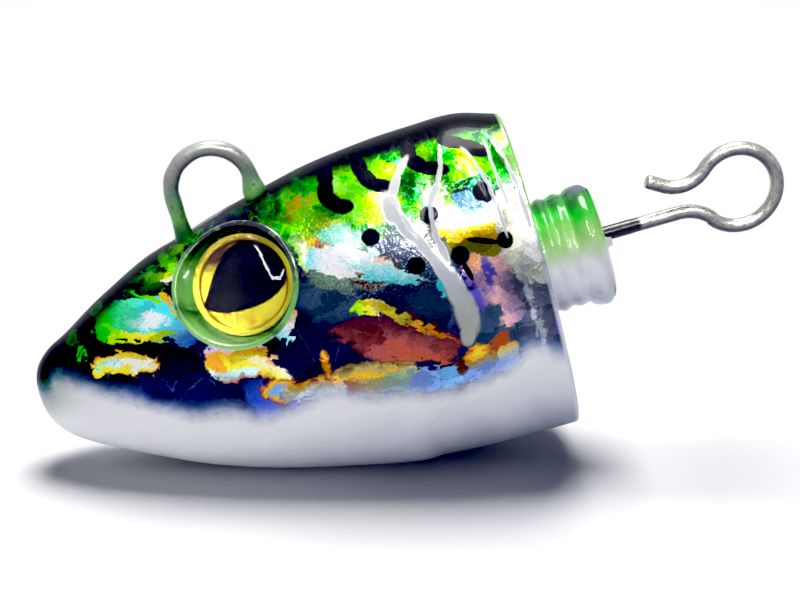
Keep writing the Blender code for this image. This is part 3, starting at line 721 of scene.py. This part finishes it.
def wire_finish():
    """Drawn stainless wire; lacquer and overspray where it stands next to the casting."""
    p = Paint("stainless_wire")
    grain = p.noise(p.vector("MULTIPLY", p.place, (0.7, 3.0, 1.0)), 0.5, 3.0, 0.6)
    steel = p.ramp(grain, "iron chrome stone", [0.2, 0.5, 0.8])
    stain = p.step(p.noise(p.place, 0.6, 3.0, 0.7), 0.60, 0.68)
    steel = p.mix(p.math("MULTIPLY", stain, 0.25), steel, "brown")
    ragged = p.math("ADD", p.x, p.math("MULTIPLY", p.noise(p.place, 0.9, 3.0), 1.6))
    # the underside of the wire is darker, as it mirrors the head's shadow
    facing = p.tree.nodes.new("ShaderNodeTexCoord").outputs["Normal"]
    under = p.step(p.vector("DOT_PRODUCT", facing, (0.0, 0.1, 1.0)), 0.25, -0.5, 0.0, 0.85)
    steel = p.mix(under, steel, "dusk")
    dark = p.math("MULTIPLY", p.step(ragged, 11.6, 11.0), p.step(p.x, 0.0, 1.0))
    steel = p.mix(dark, steel, "black")
    arch = p.step(p.x, -19.0, -20.0)
    rise = p.math("ADD", p.z, p.math("MULTIPLY", p.noise(p.place, 1.2, 3.0), 1.6))
    film = p.ramp(p.step(rise, 11.5, 21.5, kind="LINEAR"), "moss leaf apple sage chrome stone",
                  [0.0, 0.2, 0.38, 0.6, 0.85, 1.0])
    streak = p.noise(p.vector("MULTIPLY", p.place, (1.0, 2.4, 0.5)), 0.9, 4.0, 0.6)
    film = p.mix(p.step(streak, 0.62, 0.70), film, "steel")
    # painted reflection of the head's shadow: the lacquered arch too is darker underneath
    film = p.mix(p.math("MULTIPLY", under, 0.8), film, "dusk")
    tint = p.mix(arch, steel, film)
    metal = p.math("SUBTRACT", 1.0, p.math("MAXIMUM", p.math("MULTIPLY", arch, 0.75), dark))
    normal = p.bump(p.math("ADD", grain, p.math("MULTIPLY", streak, 0.5)), 0.25, 0.0001)
    p.set(Base_Color=tint, Metallic=metal, Roughness=p.step(grain, 0.3, 0.7, 0.22, 0.38), Normal=normal)
    return p.set(Coat_Weight=0.3, Coat_Roughness=0.05)


def socket_lacquer():
    """Pooled lacquer over green and white paint round the eye, darkened to black towards the top as painted
    shade in the socket.
    """
    p = Paint("socket_lacquer")
    warped = p.vector("ADD", p.place, p.vector("SCALE", p.noise(p.place, 1.5, 3.0, out=1), scale=0.8))
    wx, wy, _ = p.split(warped)
    # painted shade: pale low in the socket, turning to black high up and along the eye's x
    climb = p.math("ADD", p.math("MULTIPLY", wy, 0.75), p.math("MULTIPLY", wx, 0.35))
    paint = p.ramp(p.step(climb, -5.0, 6.0, kind="LINEAR"), "pale apple leaf apple apple leaf moss night",
                   [0.0, 0.16, 0.24, 0.32, 0.50, 0.64, 0.76, 0.88])
    paint = p.mix(p.math("MULTIPLY", p.step(p.noise(p.place, 0.7, 3.0), 0.55, 0.68), 0.4), paint, "pale")
    p.set(Base_Color=paint, Roughness=0.3, Normal=p.bump(p.noise(p.place, 0.8, 2.0), 0.15, 0.0003))
    return p.set(Coat_Weight=1.0, Coat_Roughness=0.02, Coat_IOR=LACQUER_IOR)


def gold_iris():
    """Gold foil of the eye: bright in the lower half, with a raised ring; its upper part and the ring's top
    are painted brown and black as shade under the brow.
    """
    p = Paint("gold_foil")
    warped = p.vector("ADD", p.place, p.vector("SCALE", p.noise(p.place, 1.2, 3.0, out=1), scale=0.7))
    shimmer = p.noise(warped, 1.1, 3.0, 0.6)
    gold = p.ramp(shimmer, "brown gold yellow yellow amber olive", [0.26, 0.36, 0.44, 0.58, 0.68, 0.80])
    wx, wy, _ = p.split(warped)
    # painted shade: the upper part of the gold turns brown and black under the socket's brow
    gold = p.mix(p.step(wy, 1.6, 3.0), gold, p.ramp(shimmer, "black brown brown", [0.3, 0.6, 0.8]))
    span = p.vector("LENGTH", p.vector("MULTIPLY", p.place, (1.0, 1.0, 0.0)))
    ring = p.ramp(p.step(span, 3.95, 4.75, kind="LINEAR"), "brown gold yellow yellow yellow gold gold")
    # painted shade: the ring too turns brown towards the top
    ring = p.mix(p.step(wy, 1.0, 4.5, 0.0, 0.7), ring, "brown")
    gold = p.mix(p.step(span, 3.92, 4.0), gold, ring)
    normal = p.bump(shimmer, 0.3, 0.0004)
    return p.set(Base_Color=gold, Metallic=0.9, Roughness=0.22, Normal=normal)


def pupil_ink():
    p = Paint("black_ink")
    ink = p.ramp(p.noise(p.place, 2.4, 3.0, 0.6), "black ink ink dusk", [0.3, 0.5, 0.64, 0.85])
    p.set(Base_Color=ink, Roughness=0.45, Normal=p.bump(p.noise(p.place, 0.6, 2.0), 0.1, 0.0001))
    return p.set(Specular_IOR_Level=0.1)


def clear_resin():
    p = Paint("clear_resin")
    tint = p.mix(p.noise(p.place, 2.0, 2.0), (1.0, 1.0, 1.0, 1.0), (0.94, 0.97, 1.0, 1.0))
    p.set(Base_Color=tint, Normal=p.bump(p.noise(p.place, 3.0, 1.0), 0.03, 0.0003))
    matt = p.step(p.z, DOME_LEVEL + 0.12, DOME_LEVEL + 0.04, 0.0, 0.35)
    return p.set(Transmission_Weight=1.0, Roughness=matt, IOR=1.28)


def foam():
    p = Paint("foam_pad")
    cells = p.put("TexVoronoi", p.place, None, 6.0)
    tone = p.mix(p.step(cells, 0.1, 0.6), "fog", "pearl")
    return p.set(Base_Color=tone, Roughness=0.85, Normal=p.bump(cells, 0.5, 0.0002))


def bare_foil():
    """The foil where it lies under the lacquered skin."""
    p = Paint("holographic_foil")
    field = p.noise(p.place, 3.0, 4.0, 0.6)
    hue = p.ramp(field, "navy blue cyan green lime yellow amber maroon navy")
    return p.set(Base_Color=hue, Metallic=1.0, Roughness=0.18, Normal=p.bump(field, 0.3, 0.0003))


def floor_card():
    p = Paint("floor_card")
    tone = p.mix(p.noise(p.place, 60.0, 3.0), (0.86, 0.86, 0.86, 1.0), (0.88, 0.88, 0.88, 1.0))
    return p.set(Base_Color=tone, Roughness=0.8, Specular_IOR_Level=0.15)


# ---- pieces --------------------------------------------------------------------------------------
def lacquered_skin(material):
    """The outside of the head: a closed shell, rolled at its rear edge, with a hole for each eye."""
    around, roll = 256, 0.25
    near_rear = np.array([-0.40, -0.25, -0.18, -0.12, -0.07, -0.03, 0.0])
    t = np.concatenate([np.linspace(0.02, 0.99, 236), np.sqrt(1 + near_rear / HEAD_LENGTH)])
    angle = np.arange(around) * math.tau / around
    rings = []
    for place in t:
        x = HEAD_LENGTH * (place * place - 1)
        bend = max(x + roll, 0.0)
        inset = roll - math.sqrt(roll * roll - bend * bend)
        rings.append(skin_point(np.full(around, place), angle, inset))
    rim = skin_point(np.ones(around), angle, SKIN_THICK)
    outer = rest_on_land(np.array([*rings, rim]), 0.0)
    inner_t = np.linspace(1.0, 0.08, 60)
    inner = np.array([skin_point(np.full(around // 4, place), angle[::4], SKIN_THICK)
                      for place in inner_t[1:]])
    inner = rest_on_land(inner, SKIN_THICK)
    points = [*outer.reshape(-1, 3), *inner.reshape(-1, 3)]
    faces = grid_faces(len(outer), around)
    start, few = len(outer) * around, around // 4
    edge = (len(outer) - 1) * around
    for j in range(few):
        fan = [edge + (4 * j + k) % around for k in range(5)]
        faces.append((*fan, start + (j + 1) % few, start + j))
    faces += grid_faces(len(inner), few, start)
    tip = len(points)
    points += [(-HEAD_LENGTH, 0.0, STATIONS[0][1]), (-HEAD_LENGTH + 0.5, 0.0, STATIONS[0][1])]
    faces += [(tip, (j + 1) % around, j) for j in range(around)]
    last = start + (len(inner) - 1) * few
    faces += [(tip + 1, last + j, last + (j + 1) % few) for j in range(few)]
    skin = piece("lacquered_skin", points, faces, HEAD, material, 50.0, ("clear_coat",))
    shape = BVHTree.FromPolygons([HEAD @ (Vector(p) * MM) for p in points], faces)
    for side in (-1, 1):
        cutter = socket_cutter(side)
        hole = skin.modifiers.new("eye_hole", "BOOLEAN")
        hole.operation, hole.solver, hole.object = "DIFFERENCE", "EXACT", cutter
    bpy.context.view_layer.update()
    cut = bpy.data.meshes.new_from_object(skin.evaluated_get(bpy.context.evaluated_depsgraph_get()))
    skin.modifiers.clear()
    skin.data = cut
    for obj in [o for o in bpy.data.objects if o.name.startswith("cutter")]:
        bpy.data.objects.remove(obj, do_unlink=True)
    shade(skin, 40.0)
    return skin, shape


def socket_cutter(side):
    """A round rod along an eye's axis, from the socket's floor outward."""
    points, faces = turned([(0, 0), (SOCKET_RADIUS, 0), (SOCKET_RADIUS, 7), (0, 7)], 96)
    mesh = bpy.data.meshes.new("cutter")
    mesh.from_pydata([tuple(np.array(p) * MM) for p in points], [], faces)
    bm = bmesh.new()
    bm.from_mesh(mesh)
    bmesh.ops.recalc_face_normals(bm, faces=bm.faces)
    bm.to_mesh(mesh)
    bm.free()
    obj = bpy.data.objects.new("cutter", mesh)
    bpy.context.scene.collection.objects.link(obj)
    obj.matrix_world = eye_matrix(side)
    return obj


def socket_lining(side, label, shape, material):
    """Lacquer pooled in a socket: a bead over the edge of the skin, and a bowl down to the eye."""
    # radius, share of the eye's shift, height, and whether the height is counted from the skin
    rows = ((6.10, 0, -0.03, 1), (6.02, 0, 0.06, 1), (5.90, 0, 0.11, 1), (5.76, 0, 0.12, 1),
            (5.64, 0, 0.06, 1), (5.54, 0, -0.10, 1), (5.48, 0, -0.40, 1), (5.40, 0.1, -1.0, 1),
            (5.22, 0.5, 1.15, 0), (5.02, 0.8, 0.85, 0), (4.87, 1.0, 0.70, 0), (4.81, 1.0, 0.55, 0),
            (4.85, 1.0, 0.35, 0), (5.2, 0.5, 0.06, 0), (5.66, 0, 0.06, 0), (5.66, 0, -0.30, 1),
            (5.72, 0, -0.06, 1))
    count = 120
    matrix = eye_matrix(side)
    inverse, axis = matrix.inverted(), (matrix.to_3x3() @ Vector((0.0, 0.0, 1.0))).normalized()
    rings = []
    for k in range(count):
        a = math.tau * k / count
        ring = []
        for radius, share, height, on_skin in rows:
            x = radius * math.cos(a) - side * share * EYE_SHIFT
            y = radius * math.sin(a)
            if on_skin:
                top = matrix @ (Vector((x, y, 9.0)) * MM)
                hit = shape.ray_cast(top, -axis)[0]
                height += (inverse @ hit).z / MM
            ring.append((x, y, height))
        rings.append(ring)
    rings = np.swapaxes(np.array(rings), 0, 1)
    points = rings.reshape(-1, 3)
    faces = grid_faces(len(rows), count)
    low = (len(rows) - 1) * count
    faces += [(low + j, low + (j + 1) % count, (j + 1) % count, j) for j in range(count)]
    return piece(f"socket_lining_{label}", points, faces, matrix, material, 60.0)


def iris(side, label, material):
    """The gold disc with its raised ring and a shallow dish."""
    dish = [(r, 0.62 + 0.05 * (r / 3.9) ** 2) for r in np.linspace(0.6, 3.9, 8)]
    ring = [(4.33 - 0.38 * math.cos(a), 0.69 + 0.13 * math.sin(a)) for a in np.linspace(0, math.pi, 14)]
    rim = [(EYE_RADIUS - 0.02, 0.66), (EYE_RADIUS, 0.62), (EYE_RADIUS, IRIS_LEVEL)]
    rows = [(0, 0.62), *dish, *ring, *rim, (0, IRIS_LEVEL)]
    points, faces = turned(rows, 96)
    return piece(f"iris_{label}", points, faces, eye_matrix(side, EYE_SHIFT), material, 50.0,
                 (f"iris_foil_{label}",))


def pupil(side, label, material):
    """The teardrop pupil: a low cushion of ink with a smooth outline and one sharp corner."""
    knots = np.array([*PUPIL, PUPIL[0]])
    outline = curve([(i, *knot) for i, knot in enumerate(knots)], np.linspace(0, len(PUPIL), 121)[:-1])
    middle = outline.mean(0)
    rings = [(1.0, -0.05), (1.0, -0.01), (0.985, 0.012), (0.93, 0.025), (0.5, 0.035)]
    points = [(-side * (middle[0] + (q[0] - middle[0]) * scale), middle[1] + (q[1] - middle[1]) * scale,
               PUPIL_LEVEL + height) for scale, height in rings for q in outline]
    count = len(outline)
    points += [(-side * middle[0], middle[1], PUPIL_LEVEL + height) for height in (0.036, -0.05)]
    faces = grid_faces(len(rings), count)
    top, low, end = len(rings) * count, len(rings) * count + 1, (len(rings) - 1) * count
    faces += [(top, end + j, end + (j + 1) % count) for j in range(count)]
    faces += [(low, (j + 1) % count, j) for j in range(count)]
    return piece(f"pupil_ink_{label}", points, faces, eye_matrix(side, EYE_SHIFT), material,
                 60.0, (f"pupil_{label}",))


def dome(side, label, material):
    """The clear dome over the iris."""
    crown = DOME_HEIGHT - DOME_EDGE
    arch = [(EYE_RADIUS * math.cos(a), DOME_LEVEL + DOME_EDGE + crown * math.sin(a))
            for a in np.radians(np.linspace(0, 88, 26))]
    foot = [(EYE_RADIUS, DOME_LEVEL + 0.05), (EYE_RADIUS - 0.05, DOME_LEVEL)]
    rows = [(0, DOME_LEVEL + DOME_HEIGHT), *reversed(arch), *foot, (0, DOME_LEVEL)]
    points, faces = turned(rows, 128)
    return piece(f"dome_{label}", points, faces, eye_matrix(side, EYE_SHIFT), material, 50.0,
                 (f"eye_dome_{label}",))


def neck(material):
    """The ribbed keeper neck with casting flash, lacquer runs and the meniscus round the wire."""
    across = [(0, -0.6), (5.3, -0.6), (5.3, -0.1)]
    body = [(5.58, 0.0), (5.46, 0.22)]
    ribs = curve([(x, r) for x, r in NECK_PROFILE], np.linspace(0.35, 6.2, 60))[:, 0]
    body += list(zip(ribs, np.linspace(0.35, 6.2, 60)))
    cap = [(5.30, 6.30), (5.05, 6.46), (4.2, 6.50), (3.0, 6.48), (1.9, 6.49), (1.3, 6.58),
           (1.0, 6.75), (0.84, 7.1), (0.76, 7.5), (0.0, 7.52)]

    def rough(radius, height, angle):
        fall = ease(height / 0.6) * ease((7.0 - height) / 0.8)
        lumps = (np.sin(3 * angle + 1.0 + 0.8 * height) + 0.7 * np.sin(7 * angle - 1.3 * height)
                 + 0.5 * np.sin(13 * angle + 2.1 * height + 1)) * 0.035
        seam = 0.13 * bell(np.sin(angle), 0.05) * ease(height / 2.0)
        drip = 0.20 * bell(angle - 5.4, 0.16) * bell(height - 5.4, 0.9)
        slump = 0.06 * (1 + np.sin(angle + 0.6)) * bell(height - 5.3, 0.8)
        slant = 0.10 * np.sin(2 * angle + 0.7)
        return radius + fall * (0.10 + lumps + seam + drip + slump), height + fall * slant

    points, faces = turned([*across, *body, *cap], 180, rough)
    points = [(z, -y, -x) for x, y, z in points]
    lift = Matrix.Translation((0.0, 0.0, NECK_AXIS_Z * MM))
    return piece("keeper_neck", points, faces, HEAD @ lift, material, 50.0)


def arc(circle, start, end, step=3.0):
    """Points on a circle (x, z, radius) from one angle to another, in degrees."""
    x, z, radius = circle
    angles = np.radians(np.linspace(start, end, max(3, round(abs(end - start) / step))))
    return [(x + radius * math.cos(a), z + radius * math.sin(a)) for a in angles]


def bearing(origin, target):
    """Direction from one circle's centre to another's, in degrees."""
    return math.degrees(math.atan2(target[1] - origin[1], target[0] - origin[0]))


def wire_path():
    """The wire from the loop's cut end, through the head, to the anchor foot, a point every 0.25 mm."""
    lip = arc(LIP, LIP_END, bearing(LIP, LOOP))
    heading = math.radians(LIP_END - 90.0)
    start = (lip[0][0] + LIP_RUN * math.cos(heading), lip[0][1] + LIP_RUN * math.sin(heading))
    loop = arc(LOOP, bearing(LOOP, LIP), bearing(LOOP, DIP))
    dip = arc(DIP, bearing(DIP, LOOP), 90.0)
    arch_x, _, arch_radius = EYE_ARCH
    shank = arc((arch_x + arch_radius + SHANK_BEND, SHANK_Z + SHANK_BEND, SHANK_BEND), 270.0, 180.0)
    foot = arc((arch_x - arch_radius + FOOT_BEND, FOOT_Z, FOOT_BEND), 180.0, 270.0)
    knots = np.array([start, *lip, *loop[1:], *dip[1:], *shank, *arc(EYE_ARCH, 0.0, 180.0), *foot,
                      (FOOT_END, FOOT_Z - FOOT_BEND)])
    run = np.concatenate([[0], np.cumsum(np.linalg.norm(np.diff(knots, axis=0), axis=1))])
    even = np.linspace(0, run[-1], round(run[-1] / 0.25))
    return np.stack([np.interp(even, run, knots[:, i]) for i in (0, 1)], -1)


def wire(material):
    """One bent wire, thicker where lacquer clings to it, with a rounded cut end."""
    path = wire_path()
    along = np.gradient(path, axis=0)
    along /= np.linalg.norm(along, axis=1, keepdims=True)
    count = 28
    angle = np.arange(count) * math.tau / count
    skin_top = 0.44 * (path[:, 0] + 27.7) + 13.0
    arch = ease((path[:, 1] - skin_top + 2.0) / 1.0) * (path[:, 0] < -19)
    base = bell(path[:, 1] - skin_top, 1.1) * arch
    coated = ease((10.2 - path[:, 0]) / 0.8) * (path[:, 0] > 0)
    radius = WIRE_RADIUS + 0.08 * arch + 0.38 * base + 0.03 * coated
    radius = radius + 0.02 * arch * np.sin(1.7 * path[:, 0] + 2.3 * path[:, 1])
    radius[0] *= 0.90
    rings = []
    for (x, z), (ahead, rise), r in zip(path, along, radius):
        rings.append(np.stack([x - rise * r * np.cos(angle), r * np.sin(angle),
                               z + ahead * r * np.cos(angle)], -1))
    tip = rings[0] + np.array([-along[0, 0], 0.0, -along[0, 1]]) * 0.06
    tip = (tip - tip.mean(0)) * 0.86 + tip.mean(0)
    rings = np.array([tip, *rings])
    points = [*rings.reshape(-1, 3), rings[0].mean(0), rings[-1].mean(0)]
    faces = grid_faces(len(rings), count)
    first, last, end = len(points) - 2, len(points) - 1, (len(rings) - 1) * count
    faces += [(first, (j + 1) % count, j) for j in range(count)]
    faces += [(last, end + j, end + (j + 1) % count) for j in range(count)]
    return piece("wire", points, faces, HEAD, material, 50.0, ("through_wire",))


# ---- the part ------------------------------------------------------------------------------------
skin, shape = lacquered_skin(painted_foil())
neck(neck_paint())
wire(wire_finish())
lining_finish, gold, ink, resin = socket_lacquer(), gold_iris(), pupil_ink(), clear_resin()
for side, label in ((-1, "left"), (1, "right")):
    socket_lining(side, label, shape, lining_finish)
    iris(side, label, gold)
    pupil(side, label, ink)
    dome(side, label, resin)
carried = {"head_casting": casting_paint(), "eye_pad": foam(), "foil": bare_foil()}
for name, node in frame["nodes"].items():
    for key, material in carried.items():
        if name.startswith(key):
            node.data.materials.clear()
            node.data.materials.append(material)

# ---- studio --------------------------------------------------------------------------------------
CAMERA_TARGET = (1.88, 0.0, 13.94)                      # mm
CAMERA_BACK = (-0.081, -0.930, 0.358)                   # from the target towards the camera
CAMERA_DISTANCE = 0.1923
HOOK_OF_LIGHT = ((2.0, 3.2), (2.6, 1.2), (3.0, -0.1), (3.7, -0.3), (4.3, 0.8))  # on the left dome


def area_light(name, where, target, size, energy, mirrored=True):
    """A soft panel of light that faces a target, places in metres, seen in reflections if mirrored."""
    light = bpy.data.lights.new(name, "AREA")
    light.shape = "RECTANGLE"
    light.size, light.size_y = size
    light.energy = energy
    obj = bpy.data.objects.new(name, light)
    obj.location = where
    obj.rotation_euler = (Vector(target) - Vector(where)).to_track_quat("-Z", "Y").to_euler()
    obj.visible_glossy = mirrored
    bpy.context.scene.collection.objects.link(obj)


def soft_world():
    """A dim blue fill for matt surfaces, and a bright white room for reflections."""
    world = bpy.data.worlds.new("studio")
    world.use_nodes = True
    sky = world.node_tree
    mirrored = sky.nodes.new("ShaderNodeLightPath").outputs["Is Glossy Ray"]
    strength = sky.nodes.new("ShaderNodeMapRange")
    strength.inputs["To Min"].default_value = 0.07
    strength.inputs["To Max"].default_value = 0.85
    tint = sky.nodes.new("ShaderNodeMixRGB")
    tint.inputs["Color1"].default_value = (0.45, 0.52, 1.0, 1.0)
    tint.inputs["Color2"].default_value = (0.95, 0.97, 1.0, 1.0)
    sky.links.new(mirrored, strength.inputs["Value"])
    sky.links.new(mirrored, tint.inputs["Fac"])
    sky.links.new(strength.outputs[0], sky.nodes["Background"].inputs["Strength"])
    sky.links.new(tint.outputs[0], sky.nodes["Background"].inputs["Color"])
    bpy.context.scene.world = world


def mirrored_from(outline, viewer, distance):
    """Places at a distance from the left dome that the viewer sees mirrored at these points of it.

    The outline is in the eye's own x and y, in mm; the dome is half an ellipsoid on its edge.
    """
    crown = DOME_HEIGHT - DOME_EDGE
    eye_frame = eye_matrix(-1, EYE_SHIFT)
    places = []
    for x, y in outline:
        height = crown * math.sqrt(1 - (x * x + y * y) / EYE_RADIUS ** 2)
        point = eye_frame @ (Vector((x, y, DOME_LEVEL + DOME_EDGE + height)) * MM)
        slope = Vector((x / EYE_RADIUS ** 2, y / EYE_RADIUS ** 2, height / crown ** 2))
        normal = (eye_frame.to_3x3() @ slope).normalized()
        sight = (point - viewer).normalized()
        places.append(point + distance * (sight - 2 * sight.dot(normal) * normal))
    return places


def hooked_lamp(places, target, width, strength):
    """A thin bent lamp through these places in metres, seen in the eye as a hook of light."""
    points = []
    for i, place in enumerate(places):
        along = places[min(i + 1, len(places) - 1)] - places[max(i - 1, 0)]
        across = along.cross(Vector(target) - place).normalized() * width / 2
        points += [place - across, place + across]
    mesh = bpy.data.meshes.new("hooked_lamp")
    mesh.from_pydata(points, [], [(2 * i, 2 * i + 1, 2 * i + 3, 2 * i + 2) for i in range(len(places) - 1)])
    glow = Paint("hooked_lamp")
    glow.set(Base_Color=(0.0, 0.0, 0.0, 1.0), Emission_Color=(1.0, 1.0, 1.0, 1.0),
             Emission_Strength=strength)
    mesh.materials.append(glow.material)
    lamp = bpy.data.objects.new("hooked_lamp", mesh)
    bpy.context.scene.collection.objects.link(lamp)
    lamp.visible_camera = lamp.visible_diffuse = False


floor_mesh = bpy.data.meshes.new("floor")
floor_mesh.from_pydata([(-3, -3, 0), (3, -3, 0), (3, 3, 0), (-3, 3, 0)], [], [(0, 1, 2, 3)])
floor = bpy.data.objects.new("floor", floor_mesh)
bpy.context.scene.collection.objects.link(floor)
floor.location.z = -0.00002
floor_mesh.materials.append(floor_card())

middle = (0.0, 0.0, 0.015)
area_light("top_panel", (0.03, 0.14, 0.60), middle, (0.26, 0.32), 4.6)
area_light("front_panel", (-0.12, -0.50, 0.05), middle, (0.40, 0.08), 0.45, mirrored=False)
back = Vector(CAMERA_BACK).normalized()
camera_place = Vector(CAMERA_TARGET) * MM + back * CAMERA_DISTANCE
hooked_lamp(mirrored_from(HOOK_OF_LIGHT, camera_place, 0.25), middle, 0.013, 50.0)
soft_world()
film = bpy.context.scene.view_settings
film.view_transform = "Standard"
film.use_curve_mapping = True
film.curve_mapping.black_level = (0.045, 0.045, 0.036)
film.curve_mapping.update()

camera = bpy.data.cameras.new("camera")
camera.lens = 90.0
camera.shift_x, camera.shift_y = 0.0803, 0.026
camera.clip_start = 0.01
eye = bpy.data.objects.new("camera", camera)
eye.location = camera_place
eye.rotation_euler = back.to_track_quat("Z", "Y").to_euler()
bpy.context.scene.collection.objects.link(eye)
bpy.context.scene.camera = eye

bpy.context.view_layer.update()
